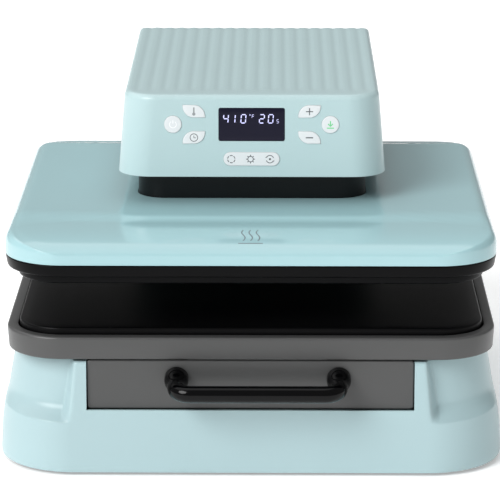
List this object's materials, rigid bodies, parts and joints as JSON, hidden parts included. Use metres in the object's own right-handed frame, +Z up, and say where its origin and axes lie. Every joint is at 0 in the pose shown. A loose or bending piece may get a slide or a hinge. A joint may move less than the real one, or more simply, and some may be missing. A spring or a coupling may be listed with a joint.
{
  "type": "automatic heat press",
  "caption": "Tabletop automatic heat press: motor-driven heated head on a C-shaped arm over a padded pull-out drawer, with a sloped control console.",
  "frame": {"origin": "on the table, under the middle of the whole outline, drawer closed", "axes": "+X to the operator's right, +Y to the back, +Z up"},
  "size_m": [0.42, 0.5017, 0.292],
  "materials": {
    "mint_casing": "gloss moulded ABS",
    "dark_grey_plastic": "satin moulded nylon",
    "black_plastic": "satin moulded",
    "black_gloss": "polished moulded",
    "key_white": "satin white keys",
    "rubber_black": "matt",
    "pad_silicone": "smooth silicone skin over foam",
    "frame_steel": "black powder coat",
    "zinc_steel": "zinc plated",
    "ground_steel": "ground",
    "bronze": "machined",
    "platen_aluminium": "cast",
    "motor_can": "plated can",
    "fibre_board": "ceramic fibre",
    "white_plastic": "low-friction",
    "circuit_board": "solder mask",
    "switch_black": "moulded"
  },
  "bodies": {
    "machine": {"base_shell": "mint_casing", "base_pan": "black_plastic", "feet": "rubber_black", "pan_screws": "zinc_steel", "sole_plate": "frame_steel", "frame_side_right": "frame_steel", "frame_side_left": "frame_steel", "frame_ties": "frame_steel", "bed_plate": "frame_steel", "slide_pads": "white_plastic", "arm_plate": "frame_steel", "frame_bolts": "zinc_steel", "rail_brackets": "frame_steel", "outer_rails": "zinc_steel", "guide_bushes": "bronze", "screw_bearing": "ground_steel", "gearbox": "platen_aluminium", "press_motor": "motor_can", "arm_casing": "mint_casing", "arm_underside": "black_plastic", "column_front": "mint_casing", "casing_screws": "zinc_steel", "display_window": "black_gloss", "display_module": "circuit_board", "control_board": "circuit_board", "tact_switches": "switch_black", "power_board": "circuit_board", "power_inlet": "black_plastic", "switch_housing": "black_plastic"},
    "drawer": {"inner_rails": "zinc_steel", "carriage": "frame_steel", "drawer_front": "dark_grey_plastic", "handle": "black_gloss", "handle_screws": "zinc_steel", "tray": "dark_grey_plastic", "tray_plate": "platen_aluminium", "pad": "pad_silicone"},
    "middle_rail_pair": {"middle_rails": "zinc_steel"},
    "head": {"heat_plate": "platen_aluminium", "heating_element": "ground_steel", "insulation": "fibre_board", "standoffs": "zinc_steel", "thermostat": "white_plastic", "pressure_plate": "frame_steel", "rim": "black_plastic", "cover": "mint_casing", "neck": "black_plastic", "lift_tube": "ground_steel", "lift_nut": "bronze", "guide_rods": "ground_steel"},
    "screw": {"lead_screw": "ground_steel"},
    "power_rocker": {"rocker": "black_gloss"},
    "power_key_cap": {"power_key": "key_white"},
    "start_key_cap": {"start_key": "key_white"},
    "temperature_key_cap": {"temperature_key": "key_white"},
    "time_key_cap": {"time_key": "key_white"},
    "plus_key_cap": {"plus_key": "key_white"},
    "minus_key_cap": {"minus_key": "key_white"},
    "mode_key_cap": {"mode_key": "key_white"}
  },
  "joints": [
    {"name": "drawer_slide", "type": "slide", "parent": "machine", "child": "drawer", "axis": [0, -1, 0], "range_m": [0, 0.29]},
    {"name": "middle_rail_slide", "type": "slide", "parent": "machine", "child": "middle_rail_pair", "axis": [0, -1, 0], "range_m": [0, 0.1451]},
    {"name": "head_press", "type": "slide", "parent": "machine", "child": "head", "axis": [0, 0, -1], "range_m": [0, 0.0369]},
    {"name": "screw_turn", "type": "hinge", "parent": "machine", "child": "screw", "pos_m": [0, -0.014, 0.23], "axis": [0, 0, 1], "range_deg": [0, 2660]},
    {"name": "rocker_tilt", "type": "hinge", "parent": "machine", "child": "power_rocker", "pos_m": [0.022, 0.2495, 0.122], "axis": [-1, 0, 0], "range_deg": [0, 16]},
    {"name": "power_key_press", "type": "slide", "parent": "machine", "child": "power_key_cap", "axis": [0, 0.9965, -0.0838], "range_m": [0, 0.0008], "stiffness_N_per_m": 2000},
    {"name": "start_key_press", "type": "slide", "parent": "machine", "child": "start_key_cap", "axis": [0, 0.9965, -0.0838], "range_m": [0, 0.0008], "stiffness_N_per_m": 2000},
    {"name": "temperature_key_press", "type": "slide", "parent": "machine", "child": "temperature_key_cap", "axis": [0, 0.9965, -0.0838], "range_m": [0, 0.0008], "stiffness_N_per_m": 2000},
    {"name": "time_key_press", "type": "slide", "parent": "machine", "child": "time_key_cap", "axis": [0, 0.9965, -0.0838], "range_m": [0, 0.0008], "stiffness_N_per_m": 2000},
    {"name": "plus_key_press", "type": "slide", "parent": "machine", "child": "plus_key_cap", "axis": [0, 0.9965, -0.0838], "range_m": [0, 0.0008], "stiffness_N_per_m": 2000},
    {"name": "minus_key_press", "type": "slide", "parent": "machine", "child": "minus_key_cap", "axis": [0, 0.9965, -0.0838], "range_m": [0, 0.0008], "stiffness_N_per_m": 2000},
    {"name": "mode_key_press", "type": "slide", "parent": "machine", "child": "mode_key_cap", "axis": [0, 0.9965, -0.0838], "range_m": [0, 0.0008], "stiffness_N_per_m": 2000}
  ],
  "couplings": [
    {"joint": "middle_rail_slide", "follows": "drawer_slide", "ratio": 0.5},
    {"joint": "screw_turn", "follows": "head_press", "rad_per_m": 1256.6}
  ]
}
